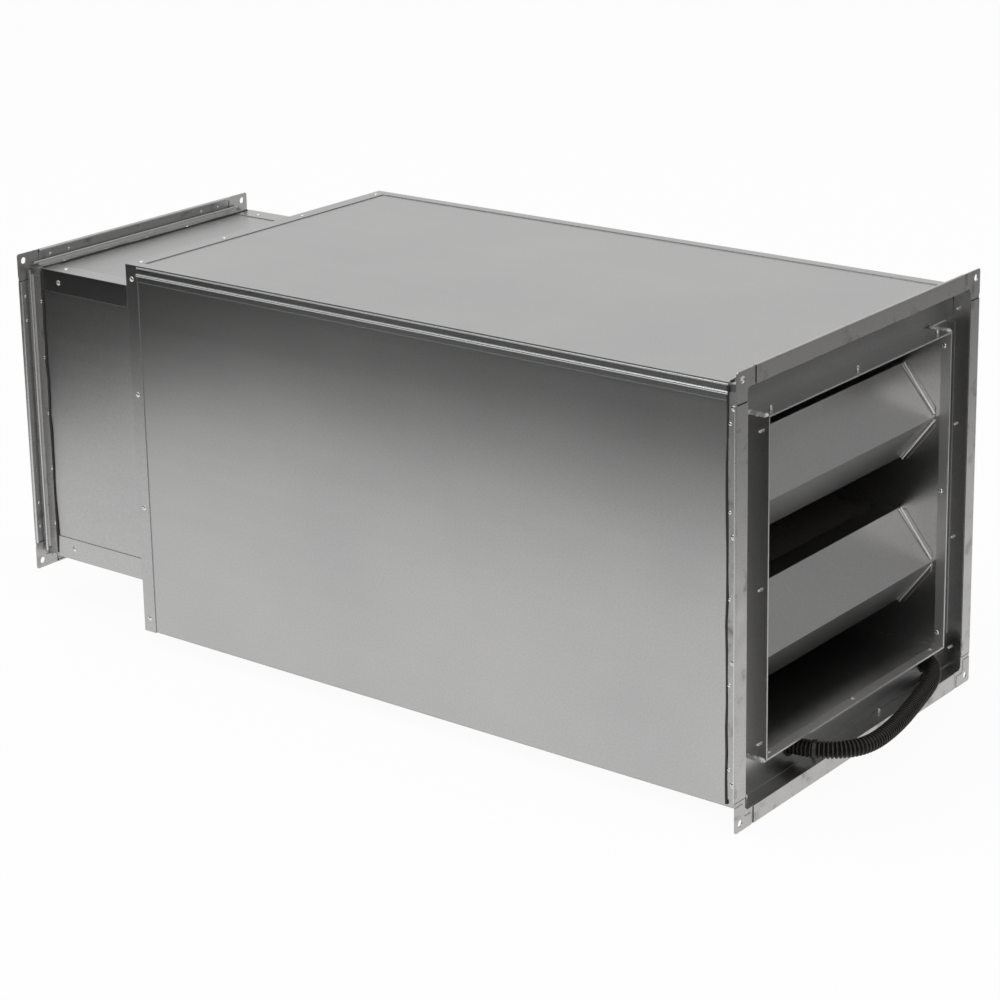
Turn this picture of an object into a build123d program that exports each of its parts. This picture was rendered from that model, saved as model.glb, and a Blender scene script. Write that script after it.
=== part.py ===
from build123d import *
import math
import os

# Volume control damper with a lagged casing and a two-splitter silencer.
# Millimetres. The origin is the centre of the inlet flange face, +X is the way the air flows, +Z is up.
# The front of the unit faces -Y, and the actuator is on its rear wall, at +Y.

# Sheet metal box
duct_size = 408.0  # outer width and height of the square inner duct
stub_length = 235.0  # bare duct in front of the casing
casing_length = 945.0
wool_depth = 46.0  # from the outside of the duct to the outside of the casing
sheet = 1.0
skirt_depth = 20.0  # fold of the inlet end plate over the casing
seam_lip = 20.0  # height of the lock seam under the casing's upper edges
seam_fold = 8.0  # height of the seam's second, outer fold
seam_cap = 14.0  # width of the seam's fold on top of the casing
angle_leg = 30.0  # corner angles along the stub

# Slip-on flanges
rail_height = 20.0
rail_sheet = 1.2
rail_leg = 24.0  # reach of the rail along the duct, from the flange face
rail_ridge = 3.5  # height of the rail's hollow ridge over the duct
ridge_depth = 10.0
hem_height = 6.0
corner_arm = 38.0  # arm of a flange corner, from its outer corner
corner_gap = 1.2  # between a corner's arm and the rail
corner_lip = 5.0  # sunk lip along the inner edge and the arms' ends
corner_step = 0.7
corner_cut = 1.5
inner_cut = 4.0
bolt_radius = 4.5
bolt_edge = 10.0  # bolt hole centre to the outer edges of the flange
leg_setback = 10.0  # the rail's leg stops this far from the duct's edge

# Outlet closure
recess = 33.0  # from the outlet flange face back to the closure
collar_setback = 1.0  # the collar's edge stays behind the flange face
return_fold = 12.0

# Damper blades
blade_count = 4
blade_gap = 1.0  # between the edges of closed blades
blade_thickness = 15.0
blade_edge = 2.0  # thickness of the hemmed edge
edge_width = 6.5
blade_from_casing = 100.0  # shaft line behind the casing's inlet end
blade_play = 1.0  # blade end to bearing flange
shaft_radius = 6.0
shaft_play = 0.05  # radial play of a shaft in its bearing
bore_sides = 12  # flats of a bore round the shaft
stop_width = 20.0
stop_thickness = 3.0
drive_blade = 2  # counted from the top, this blade carries the actuator

# Bearings: six-sided bushes, so that they don't turn in the duct's wall
bearing_half = 8.0  # half the width over the body's flats
bearing_flange = 12.0  # and over the flange's
bearing_play = 0.05
flange_thickness = 2.0
bearing_reach = 8.0  # body of the bearing outside the duct wall

# Gears: as far apart as the blades, so their module follows from the teeth
gear_teeth = 20
flank_points = 3
gear_width = 10.0
gear_play = 1.0  # bearing to gear
pressure_angle = 20.0
tooth_thinning = 0.15  # taken off each flank
hub_half = 13.0  # half the width over the hub's flats
hub_length = 6.0
shaft_end = 2.0  # shaft past the gear's hub

# Silencer
splitter_count = 2
splitter_thickness = 122.0
wall_way = 48.0  # height of the air way between a splitter and the duct's wall
splitter_from_blades = 145.0
splitter_to_closure = 35.0  # back of the outlet nose to the closure
outlet_nose = 48.0
inlet_nose = 40.0
nose_flange = 8.0
frame_band = 28.0  # solid border of the splitter's faces, at its ends
frame_edge = 12.0  # and along its sides
splitter_play = 0.3

# Wool lagging
wool_play = 0.3
cable_space = 70.0  # empty space behind the closure, for the conduit
gear_space = 110.0  # no wool beside the gears, either way from the shafts
pocket_play = 4.0

# Actuator
actuator_length = 132.0
actuator_height = 66.0
actuator_depth = 58.0
actuator_end = 36.0  # shaft line to the near end of the actuator
bracket_sheet = 2.0
bracket_margin = 12.0
bracket_rivet_inset = 6.0
standoff_length = 8.0
standoff_half = 5.0
standoff_inset = 14.0
spindle_radius = 10.0
spindle_play = 0.08
shaft_hole_play = 1.0
clamp_half = 16.0
clamp_height = 12.0
clamp_lift = 1.0  # clamp to actuator face
nut_half = 3.5
nut_height = 4.0
lug_reach = 30.0
lug_width = 8.0
stop_play = 0.4
stop_size = 6.0
stop_height = 8.0
button_radius = 7.0
button_play = 0.3
button_length = 10.0
button_proud = 4.0
button_travel = 3.0
button_place = 66.0  # shaft line to button
gland_half = 8.0  # half the width over the cable gland's flats
gland_length = 12.0

# Conduit: its tube, grommets and tie are twelve-sided
conduit_radius = 10.6
conduit_sides = 12
conduit_rise = 20.0  # conduit's axis over the casing's underside
conduit_play = 0.1
conduit_lean = 3.9  # more bore at the end that leaves the closure at an angle
grommet_wall = 1.6
grommet_rim = 3.3
grommet_lip = 1.2
tie_width = 4.5
tie_thickness = 1.4
tie_head = 6.0
tie_place = 49.0  # along the conduit, from its near end

# Blind rivets
rivet_head = 3.6
rivet_head_height = 1.2
rivet_head_taper = 50.0
rivet_shank = 1.8
rivet_length = 8.0
rivet_corner = 18.0  # first rivet of a row to the corner of its sheet
rail_rivet_corner = 28.0  # and in the outlet flange's rails
angle_rivet_place = 57.0
collar_rivet_place = 10.0  # behind the duct's end

# Places that follow from the sizes
half_duct = duct_size / 2
half_bore = half_duct - sheet
half_casing = half_duct + wool_depth
half_cavity = half_casing - sheet
casing_start = stub_length
casing_end = casing_start + casing_length
closure_face = casing_end - recess
duct_end = casing_end - collar_setback
shaft_line = casing_start + blade_from_casing
splitter_start = shaft_line + splitter_from_blades
splitter_end = closure_face - splitter_to_closure
blade_pitch = 2 * (half_bore - stop_thickness) / blade_count
splitter_pitch = (2 * (half_bore - wall_way) - splitter_thickness) / (splitter_count - 1)
blade_half_width = half_bore - flange_thickness - blade_play
gear_start = half_duct + bearing_reach + gear_play
actuator_back = half_casing + bracket_sheet + standoff_length
actuator_face = actuator_back + actuator_depth
TOP, FRONT, BOTTOM, REAR = 0, 90, 180, 270
SIDES = {"top": TOP, "front": FRONT, "bottom": BOTTOM, "rear": REAR}


def block(x, y, z):
    """A box between two values along each axis."""
    size = [high - low for low, high in (x, y, z)]
    centre = [(high + low) / 2 for low, high in (x, y, z)]
    return Pos(*centre) * Box(*size)


def turned(shape, angle):
    """The piece made for the top side, turned about the duct's axis to another side."""
    return Rot(angle, 0, 0) * shape


def prism(points, half_length):
    """An outline of (x, z) points, extruded both ways along Y."""
    outline = make_face(Polyline(*points, close=True))
    return extrude(Plane.XZ * outline, half_length, both=True)


def rod(radius, y0, y1, x=0.0, z=0.0):
    """A cylinder along Y."""
    return Pos(x, (y0 + y1) / 2, z) * Rot(90, 0, 0) * Cylinder(radius, y1 - y0)


def flat_sided_rod(sides, flats, y0, y1, x=0.0, z=0.0):
    """A bar with flat sides along Y. The size is half the width over its flats."""
    section = Plane.XZ.offset(-y0) * RegularPolygon(flats, sides, major_radius=False)
    return Pos(x, 0, z) * extrude(section, y0 - y1)


def hexagon_rod(flats, y0, y1, x=0.0, z=0.0):
    return flat_sided_rod(6, flats, y0, y1, x, z)


def shaft_bore(y0, y1, x=0.0, z=0.0):
    """A bore with small flats, which just clears a blade's shaft."""
    return flat_sided_rod(bore_sides, shaft_radius + shaft_play, y0, y1, x, z)


def shaft_height(number):
    """Height of a blade's shaft line, counting the blades from the top."""
    return ((blade_count + 1) / 2 - number) * blade_pitch


def splitter_height(number):
    """Height of a splitter's middle, counting from the top."""
    return ((splitter_count + 1) / 2 - number) * splitter_pitch


def spread(first, last, count):
    """Evenly spaced values from first to last."""
    return [first + (last - first) * step / (count - 1) for step in range(count)]


# Inner duct


def duct_wide_panel():
    """Top or bottom of the duct, over the full width."""
    return block((rail_sheet, duct_end), (-half_duct, half_duct), (half_bore, half_duct))


def duct_side_panel():
    """Front or rear of the duct, between the wide panels, with a hole for each bearing."""
    panel = block((rail_sheet, duct_end), (half_bore, half_duct), (-half_bore, half_bore))
    for number in range(1, blade_count + 1):
        hole = (bearing_half + bearing_play, half_bore - sheet, half_duct + sheet)
        panel -= hexagon_rod(*hole, shaft_line, shaft_height(number))
    return panel


def duct_angles():
    """The four corner angles outside the stub."""
    angles = []
    for side in SIDES.values():
        reach = half_duct + sheet
        cap = block((rail_leg, casing_start), (reach - angle_leg, reach), (half_duct, reach))
        wall = block((rail_leg, casing_start), (half_duct, reach), (reach - angle_leg, reach))
        angles.append(turned(cap + wall, side))
    return angles


# Slip-on flanges


def flange_rail(half_size):
    """Top rail of a flange whose face is at X = 0 and whose duct runs to +X."""
    face = [
        (0, half_size - sheet),
        (0, half_size + rail_height),
        (2 * rail_sheet, half_size + rail_height),
        (2 * rail_sheet, half_size + rail_height - hem_height),
        (rail_sheet, half_size + rail_height - hem_height),
        (rail_sheet, half_size - sheet),
    ]
    leg = [
        (rail_sheet, half_size),
        (rail_sheet, half_size + rail_ridge),
        (ridge_depth - rail_sheet, half_size + rail_ridge),
        (ridge_depth, half_size + rail_sheet),
        (rail_leg, half_size + rail_sheet),
        (rail_leg, half_size),
    ]
    face_half = half_size + rail_height - corner_arm
    return prism(face, face_half) + prism(leg, half_size - leg_setback)


def corner_plate(outer, arm, width, depth):
    """An L-shaped plate in the corner at +Y and +Z, with its outer and inner corners cut off."""
    inner = outer - width
    outline = make_face(
        Polyline(
            (outer - arm, inner),
            (outer - arm, outer),
            (outer, outer),
            (outer, outer - arm),
            (inner, outer - arm),
            (inner, inner),
            close=True,
        )
    )
    corner = outline.vertices().sort_by(Vertex(outer, outer, 0).distance_to)[0]
    outline = chamfer(corner, corner_cut)
    middle = outline.vertices().sort_by(Vertex(inner, inner, 0).distance_to)[0]
    outline = chamfer(middle, inner_cut)
    return Plane.YZ.offset(depth[0]) * extrude(outline, depth[1] - depth[0])


def flange_corner(half_size):
    """Stamped corner between two rails: a raised L on a sunk lip, with the bolt hole."""
    outer = half_size + rail_height
    arm = corner_arm - corner_gap
    lip = corner_plate(outer, arm, rail_height + sheet, (corner_step, rail_sheet + corner_step))
    raised = corner_plate(outer, arm - corner_lip, rail_height - corner_lip, (0, rail_sheet))
    lip -= block((rail_sheet, corner_arm), (0, half_size + rail_ridge), (0, half_size + rail_ridge))
    bolt = outer - bolt_edge
    return lip + raised - Pos(0, bolt, bolt) * Rot(0, 90, 0) * Cylinder(bolt_radius, 4 * corner_arm)


def at_outlet(shape):
    """A flange piece made at the inlet, turned to face the outlet."""
    return Pos(casing_end, 0, 0) * Rot(0, 0, 180) * shape


# Casing


def casing_top():
    """Top of the casing, with the lock seams folded down over its sides."""
    x = (casing_start + sheet, casing_end - rail_sheet)
    panel = block(x, (-half_casing, half_casing), (half_cavity, half_casing))
    seam_x = (casing_start + skirt_depth, casing_end - rail_leg)
    low = half_casing - seam_lip
    for side in (-1, 1):
        inner, middle, outer = (side * (half_casing + fold * sheet) for fold in (0, 1, 2))
        y = tuple(sorted((inner, middle)))
        lip = block(seam_x, y, (low, half_casing))
        lip += block(seam_x, tuple(sorted((middle, outer))), (low, low + seam_fold))
        cap_y = tuple(sorted((middle, side * (half_casing - seam_cap))))
        lip += block(seam_x, cap_y, (half_casing, half_casing + sheet))
        panel += lip
    return panel


def casing_bottom():
    x = (casing_start + sheet, casing_end - rail_sheet)
    return block(x, (-half_casing, half_casing), (-half_casing, -half_cavity))


def casing_side():
    """Front or rear wall, between the top and the bottom."""
    x = (casing_start + sheet, casing_end - rail_sheet)
    return block(x, (-half_cavity, half_cavity), (half_cavity, half_casing))


def drive_hole(y0, y1):
    """Clearance for the drive shaft through the rear wall and the bracket."""
    return rod(shaft_radius + shaft_hole_play, y0, y1, shaft_line, shaft_height(drive_blade))


def inlet_end_plate():
    """Square plate round the duct, with a skirt folded over the casing."""
    reach = half_casing + sheet
    plate = block((casing_start, casing_start + skirt_depth), (-reach, reach), (-reach, reach))
    inside = (casing_start + sheet, casing_start + 2 * skirt_depth)
    plate -= block(inside, (-half_casing, half_casing), (-half_casing, half_casing))
    duct = (casing_start - sheet, casing_start + skirt_depth)
    return plate - block(duct, (-half_duct, half_duct), (-half_duct, half_duct))


def closure_strip(web_half, collar_half):
    """One side of the outlet closure: web, collar leg round the duct's end, and return fold."""
    web = block((closure_face - sheet, closure_face), (-web_half, web_half), (half_duct, half_cavity))
    collar_x = (closure_face - sheet, duct_end)
    collar = block(collar_x, (-collar_half, collar_half), (half_duct, half_duct + sheet))
    fold_x = (closure_face - sheet, closure_face + return_fold)
    fold = block(fold_x, (-web_half, web_half), (half_cavity - sheet, half_cavity))
    return web + collar + fold


def conduit_point(place):
    """Row position of a conduit end where it passes the closure."""
    return (closure_face, place, conduit_rise - half_casing)


# Wool lagging


def wool_top(end):
    """Slab over the duct, with a pocket for the highest gear."""
    x = (casing_start + skirt_depth + wool_play, end)
    wide = half_cavity - wool_play
    slab = block(x, (-wide, wide), (half_duct + wool_play, wide))
    tip = blade_pitch / 2 + blade_pitch / gear_teeth + pocket_play
    height = shaft_height(1) + tip
    gears = (shaft_line - tip, shaft_line + tip)
    return slab - block(gears, (half_duct, half_cavity), (half_duct, height))


def wool_side(start):
    """Slab beside the duct, between the top and bottom slabs."""
    x = (start, closure_face - sheet - wool_play)
    tall = half_duct - wool_play
    return block(x, (-tall, tall), (half_duct + wool_play, half_cavity - wool_play))


# Damper blades


def blade(height):
    """Double-skin aerofoil blade with hemmed edges, open, on its shaft line."""
    half_chord = (blade_pitch - blade_gap) / 2
    edge = blade_edge / 2
    arc_end = half_chord - edge_width
    outline = Polyline((-arc_end, edge), (-half_chord, edge), (-half_chord, -edge), (-arc_end, -edge))
    outline += ThreePointArc((-arc_end, -edge), (0, -blade_thickness / 2), (arc_end, -edge))
    outline += Polyline((arc_end, -edge), (half_chord, -edge), (half_chord, edge), (arc_end, edge))
    outline += ThreePointArc((arc_end, edge), (0, blade_thickness / 2), (-arc_end, edge))
    body = extrude(Plane.XZ * make_face(outline), blade_half_width, both=True)
    body -= shaft_bore(-half_duct, half_duct)
    return Pos(shaft_line, 0, height) * body


def shaft(number):
    """Shaft of one blade. The drive shaft runs on through the rear wall to the actuator's clamp."""
    low = -half_duct - bearing_reach + gear_play
    high = gear_start + gear_width + hub_length + shaft_end
    if number == drive_blade:
        high = actuator_face + clamp_lift + clamp_height + shaft_end
    return rod(shaft_radius, low, high, shaft_line, shaft_height(number))


def involute(angle):
    return math.tan(angle) - angle


def tooth_points(module):
    """Half of one tooth's outline, from the root to the tip, as (radius, half angle) pairs."""
    pitch_radius = module * gear_teeth / 2
    root = pitch_radius - 1.25 * module
    tip = pitch_radius + module
    base = pitch_radius * math.cos(math.radians(pressure_angle))
    at_pitch = math.pi / 2 / gear_teeth - tooth_thinning / pitch_radius
    start = at_pitch + involute(math.radians(pressure_angle))
    radii = spread(max(base, root), tip, flank_points)
    flank = [(radius, start - involute(math.acos(base / radius))) for radius in radii]
    return [(root, start)] + flank


def gear(number):
    """Spur gear of one blade. Neighbours are half a tooth apart, so that they mesh."""
    module = blade_pitch / gear_teeth
    half_tooth = tooth_points(module)
    outline = []
    phase = math.pi / 2 + (number % 2) * math.pi / gear_teeth
    for tooth in range(gear_teeth):
        middle = phase + 2 * math.pi * tooth / gear_teeth
        for radius, angle in half_tooth:
            outline.append((radius * math.cos(middle - angle), radius * math.sin(middle - angle)))
        for radius, angle in reversed(half_tooth):
            outline.append((radius * math.cos(middle + angle), radius * math.sin(middle + angle)))
    disc = prism(outline, gear_width / 2)
    hub_y = (gear_width / 2, gear_width / 2 + hub_length)
    wheel = Pos(0, gear_width / 2, 0) * (disc + hexagon_rod(hub_half, *hub_y))
    wheel -= shaft_bore(-gear_width, 2 * gear_width)
    return Pos(shaft_line, gear_start, shaft_height(number)) * wheel


def bearing(number, side):
    """Flanged plastic bush in the front (-1) or rear (1) wall of the duct."""
    inner = half_bore - flange_thickness
    bush = hexagon_rod(bearing_flange, inner, half_bore)
    bush += hexagon_rod(bearing_half, inner, half_duct + bearing_reach)
    bush -= shaft_bore(inner - sheet, half_duct + bearing_reach + sheet)
    if side < 0:
        bush = mirror(bush, Plane.XZ)
    return Pos(shaft_line, 0, shaft_height(number)) * bush


def blade_stop(side):
    """Strip that the end blade's edge closes against, under the top (1) or on the bottom (-1)."""
    z = tuple(sorted((side * (half_bore - stop_thickness), side * half_bore)))
    x = (shaft_line - stop_width / 2, shaft_line + stop_width / 2)
    return block(x, (-blade_half_width, blade_half_width), z)


# Silencer


def splitter_frame(height):
    """Sheet frame of one splitter, open in its upper and lower faces."""
    half = splitter_thickness / 2
    side = half_bore - splitter_play
    inside = side - sheet
    x = (splitter_start, splitter_end)
    hollow = (splitter_start + sheet, splitter_end - sheet)
    frame = block(x, (-side, side), (-half, half))
    frame -= block(hollow, (-inside, inside), (-half + sheet, half - sheet))
    window_x = (splitter_start + frame_band, splitter_end - frame_band)
    window_y = (-side + frame_edge, side - frame_edge)
    frame -= block(window_x, window_y, (-half - sheet, half + sheet))
    return Pos(0, 0, height) * frame


def splitter_infill(height):
    """Fleece-covered wool inside the frame."""
    half = splitter_thickness / 2 - sheet - wool_play
    side = half_bore - splitter_play - sheet - wool_play
    x = (splitter_start + sheet + wool_play, splitter_end - sheet - wool_play)
    return Pos(0, 0, height) * block(x, (-side, side), (-half, half))


def splitter_nose(start, reach, height):
    """V-shaped fold in front of a splitter, with a flange along the duct's wall at each end."""
    half = splitter_thickness / 2
    way = math.copysign(1, reach)
    slope = math.hypot(reach, half)
    wall_z = sheet * slope / abs(reach)
    wall_x = sheet * slope / half
    tip = start + reach
    fold = [
        (start, half),
        (tip, 0),
        (start, -half),
        (start, -half + wall_z),
        (tip - way * wall_x, 0),
        (start, half - wall_z),
    ]
    side = half_bore - splitter_play
    nose = prism(fold, side)
    flange_x = nose_flange * slope / half
    for sign in (-1, 1):
        flange = [
            (start, sign * (half - wall_z / 2)),
            (start, sign * half),
            (start + way * flange_x, sign * half),
            (tip, sign * half * flange_x / abs(reach)),
            (tip, 0),
            (tip - way * wall_x / 2, 0),
        ]
        plate = prism(flange, sheet / 2)
        for end in (-1, 1):
            nose += Pos(0, end * (side - sheet / 2), 0) * plate
    return Pos(0, 0, height) * nose


# Actuator


def actuator_housing():
    """Closed plastic case with the spindle's bore, the button's well, two stops and a cable gland."""
    z = shaft_height(drive_blade)
    x = (-actuator_end, actuator_length - actuator_end)
    half = actuator_height / 2
    case = block(x, (actuator_back, actuator_face), (-half, half))
    case = fillet(case.edges().filter_by(Axis.Y), 7)
    case = chamfer(case.faces().sort_by(Axis.Y)[-1].edges(), 2)
    gland_y = (actuator_back + actuator_face) / 2
    gland = Plane.YZ.offset(x[1]) * Pos(gland_y, 0) * RegularPolygon(gland_half, 6, major_radius=False)
    case += extrude(gland, gland_length)
    stop_y = (actuator_face, actuator_face + stop_height)
    out = (lug_reach - stop_size, lug_reach)
    gap = (lug_width / 2 + stop_play, lug_width / 2 + stop_play + stop_size)
    case += block(out, stop_y, gap)
    case += block((-gap[1], -gap[0]), stop_y, (-out[1], -out[0]))
    case -= rod(spindle_radius + spindle_play, actuator_back - 1, actuator_face + 1)
    well = actuator_face - button_length + button_proud - button_travel - 1
    case -= rod(button_radius + button_play, well, actuator_face + 1, button_place)
    return Pos(shaft_line, 0, z) * case


def actuator_bracket():
    """Plate on the casing with four standoffs under the actuator."""
    z = shaft_height(drive_blade)
    low, high = -actuator_end - bracket_margin, actuator_length - actuator_end + bracket_margin
    half = actuator_height / 2
    tall = half + bracket_margin
    plate_y = (half_casing, half_casing + bracket_sheet)
    plate = block((low, high), plate_y, (-tall, tall))
    for x in (standoff_inset - actuator_end, actuator_length - actuator_end - standoff_inset):
        for height in (standoff_inset - half, half - standoff_inset):
            plate += hexagon_rod(standoff_half, half_casing, actuator_back, x, height)
    bracket = Pos(shaft_line, 0, z) * plate
    return bracket - drive_hole(half_casing - 1, actuator_back)


def shaft_clamp():
    """Hollow spindle through the actuator, with the clamp and its pointer lug outside."""
    low = actuator_face + clamp_lift
    clamp = hexagon_rod(clamp_half, low, low + clamp_height)
    half = lug_width / 2
    clamp += block((0, lug_reach), (low, low + clamp_height / 2), (-half, half))
    clamp += rod(spindle_radius, actuator_back, low + clamp_height / 2)
    nut_y = (low + clamp_height, low + clamp_height + nut_height)
    for x in (-1, 1):
        clamp += hexagon_rod(nut_half, *nut_y, x * (shaft_radius + clamp_half) / 2)
    clamp -= shaft_bore(actuator_back - 1, low + 2 * clamp_height)
    return Pos(shaft_line, 0, shaft_height(drive_blade)) * clamp


def release_button():
    y = (actuator_face + button_proud - button_length, actuator_face + button_proud)
    return rod(button_radius, *y, shaft_line + button_place, shaft_height(drive_blade))


# Conduit

axis_z = conduit_rise - half_casing
conduit_bore = conduit_radius + conduit_play
conduit_in = -104.0
conduit_out = 214.3  # where the leaning end passes the closure
conduit_route = [
    (closure_face - 17, conduit_in, axis_z),
    (closure_face + 23, conduit_in, axis_z),
    (closure_face + 57.6, -84.0, axis_z),
    (closure_face + 77, -50.0, axis_z),
    (closure_face + 74, 14.0, axis_z),
    (closure_face + 58, 92.0, axis_z),
    (closure_face + 43, 156.0, axis_z),
    (closure_face + 22.3, 195.0, axis_z),
    (closure_face - 2.2, 217.0, axis_z),
    (closure_face - 32.8, 229.0, axis_z),
]

conduit_bores = {conduit_in: conduit_bore, conduit_out: conduit_bore + conduit_lean}


def route_radii(points):
    """The largest tangent arc that the runs on each side of a point allow."""
    radii = []
    for before, corner, after in zip(points, points[1:], points[2:]):
        first = Vector(*corner) - Vector(*before)
        second = Vector(*after) - Vector(*corner)
        half_turn = math.radians(first.get_angle(second)) / 2
        radii.append(0.45 * min(first.length, second.length) / math.tan(half_turn))
    return radii


def conduit_path():
    radii = route_radii(conduit_route)
    print("conduit radii", [round(radius, 1) for radius in radii])
    return FilletPolyline(*conduit_route, radius=radii)


def conduit(path):
    start = Plane(origin=path @ 0, z_dir=path % 0)
    section = RegularPolygon(conduit_radius, conduit_sides)
    tube = sweep(start * section, path)
    print("conduit volume over section times length", round(tube.volume / section.area / path.length, 4))
    return tube


def collet(radius, length):
    """Twelve-sided bar along X, with its flats like the conduit's."""
    return Rot(0, 90, 0) * extrude(RegularPolygon(radius, conduit_sides), length / 2, both=True)


def conduit_passage(place, radius):
    """A bore through the closure at one end of the conduit."""
    return Pos(*conduit_point(place)) * collet(radius, 4 * grommet_lip)


def grommet(place, bore):
    """Rubber ring in the closure, with a lip on each side of the sheet."""
    body = collet(bore + grommet_wall, sheet)
    for side in (-1, 1):
        body += Pos(side * (sheet + grommet_lip) / 2, 0, 0) * collet(bore + grommet_rim, grommet_lip)
    body -= collet(bore, 4 * grommet_lip)
    return Pos(*conduit_point(place)) * Pos(-sheet / 2, 0, 0) * body


def cable_tie(path):
    """Band round the conduit at the start of its bend, with the locking head underneath."""
    share = tie_place / path.length
    across = Plane(origin=path @ share, x_dir=(0, 0, -1), z_dir=path % share)
    band = RegularPolygon(conduit_bore + tie_thickness, conduit_sides)
    band -= RegularPolygon(conduit_bore, conduit_sides)
    band += Pos(conduit_bore + tie_head / 2, 0) * Rectangle(tie_head - tie_thickness, tie_head)
    return extrude(across * band, tie_width / 2, both=True)


# Fasteners


def rivet():
    """Set blind rivet that points down, with its head's underside at the origin."""
    head = extrude(RegularPolygon(rivet_head, 7), rivet_head_height, taper=rivet_head_taper)
    return head + extrude(RegularPolygon(rivet_shank, 5), -rivet_length)


def casing_rivets():
    """Rows in the end plate's skirt and the outlet rails, two in each angle, four in the bracket."""
    rivets = []
    skirt_row = spread(rivet_corner - half_casing, half_casing - rivet_corner, 4)
    rail_row = spread(rail_rivet_corner - half_casing, half_casing - rail_rivet_corner, 4)
    rail_x = casing_end - (ridge_depth + rail_leg) / 2
    for angle in SIDES.values():
        for place in skirt_row:
            skirt = Pos(casing_start + skirt_depth / 2, place, half_casing + sheet) * rivet()
            rivets.append(turned(skirt, angle))
        for place in rail_row:
            rail = Pos(rail_x, place, half_casing + rail_sheet) * rivet()
            rivets.append(turned(rail, angle))
        for side in (-1, 1):
            place = side * (half_duct - angle_leg / 2)
            rivets.append(turned(Pos(angle_rivet_place, place, half_duct + sheet) * rivet(), angle))
    near, far = shaft_line - actuator_end, shaft_line + actuator_length - actuator_end
    reach = actuator_height / 2 + bracket_margin - bracket_rivet_inset
    for x in (near - bracket_margin + bracket_rivet_inset, far + bracket_margin - bracket_rivet_inset):
        for rise in (-reach, reach):
            place = Pos(x, -shaft_height(drive_blade) - rise, half_casing + bracket_sheet)
            rivets.append(turned(place * rivet(), REAR))
    return rivets


def collar_rivets():
    """Three to a side, set from inside through the duct's end and the collar."""
    rivets = []
    for angle in SIDES.values():
        for place in spread(rivet_corner - half_duct, half_duct - rivet_corner, 3):
            out = Pos(duct_end - collar_rivet_place, place, half_bore) * Rot(180, 0, 0) * rivet()
            rivets.append(turned(out, angle))
    return rivets


def build():
    """Every sub-part, by the name of its node."""
    parts = {}
    parts["duct_top_panel"] = duct_wide_panel()
    parts["duct_bottom_panel"] = turned(duct_wide_panel(), BOTTOM)
    parts["duct_front_panel"] = mirror(duct_side_panel(), Plane.XZ)
    parts["duct_rear_panel"] = duct_side_panel()
    parts["duct_corner_angles"] = duct_angles()
    parts["casing_top_panel"] = casing_top()
    parts["casing_bottom_panel"] = casing_bottom()
    parts["casing_front_panel"] = turned(casing_side(), FRONT)
    rear = turned(casing_side(), REAR)
    parts["casing_rear_panel"] = rear - drive_hole(half_cavity - 1, half_casing + 1)
    parts["inlet_end_plate"] = inlet_end_plate()
    for name, angle in SIDES.items():
        parts[f"inlet_flange_{name}_rail"] = turned(flange_rail(half_duct), angle)
        parts[f"outlet_flange_{name}_rail"] = turned(at_outlet(flange_rail(half_casing)), angle)
    corners = [turned(flange_corner(half_duct), angle) for angle in SIDES.values()]
    parts["inlet_flange_corners"] = corners
    corners = [turned(at_outlet(flange_corner(half_casing)), angle) for angle in SIDES.values()]
    parts["outlet_flange_corners"] = corners
    wide = closure_strip(half_cavity, half_duct + sheet)
    narrow = closure_strip(half_duct, half_duct)
    parts["closure_top_strip"] = wide
    parts["closure_front_strip"] = turned(narrow, FRONT)
    parts["closure_rear_strip"] = turned(narrow, REAR)
    lower = turned(wide, BOTTOM)
    for place, bore in conduit_bores.items():
        lower -= conduit_passage(place, bore + grommet_wall)
    parts["closure_bottom_strip"] = lower
    wool_end = closure_face - sheet - wool_play
    parts["wool_top_slab"] = wool_top(wool_end)
    parts["wool_bottom_slab"] = mirror(wool_top(closure_face - cable_space), Plane.XY)
    parts["wool_front_slab"] = turned(wool_side(shaft_line + gear_space), FRONT)
    parts["wool_rear_slab"] = turned(wool_side(shaft_line + gear_space), REAR)
    for number in range(1, blade_count + 1):
        parts[f"blade_{number}"] = blade(shaft_height(number))
        parts[f"blade_{number}_shaft"] = shaft(number)
        parts[f"blade_{number}_gear"] = gear(number)
    numbers = range(1, blade_count + 1)
    parts["shaft_bearings"] = [bearing(number, side) for number in numbers for side in (-1, 1)]
    parts["blade_stops"] = [blade_stop(side) for side in (-1, 1)]
    names = {1: "upper", 2: "lower"}
    for number in range(1, splitter_count + 1):
        name = names.get(number, f"extra_{number}")
        height = splitter_height(number)
        parts[f"{name}_splitter_frame"] = splitter_frame(height)
        parts[f"{name}_splitter_infill"] = splitter_infill(height)
        parts[f"{name}_splitter_outlet_nose"] = splitter_nose(splitter_end, outlet_nose, height)
        parts[f"{name}_splitter_inlet_nose"] = splitter_nose(splitter_start, -inlet_nose, height)
    parts["actuator_housing"] = actuator_housing()
    parts["actuator_bracket"] = actuator_bracket()
    parts["shaft_clamp"] = shaft_clamp()
    parts["release_button"] = release_button()
    path = conduit_path()
    parts["conduit"] = conduit(path)
    parts["conduit_grommets"] = [grommet(place, bore) for place, bore in conduit_bores.items()]
    parts["cable_tie"] = cable_tie(path)
    parts["casing_rivets"] = casing_rivets()
    parts["collar_rivets"] = collar_rivets()
    return parts


os.makedirs("parts", exist_ok=True)
for node, shape in build().items():
    if isinstance(shape, list):
        shape = Compound(children=shape)
    export_step(shape, f"parts/{node}.step")
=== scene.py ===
import math
import random

import bmesh
import bpy
from mathutils import Matrix, Vector


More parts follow.
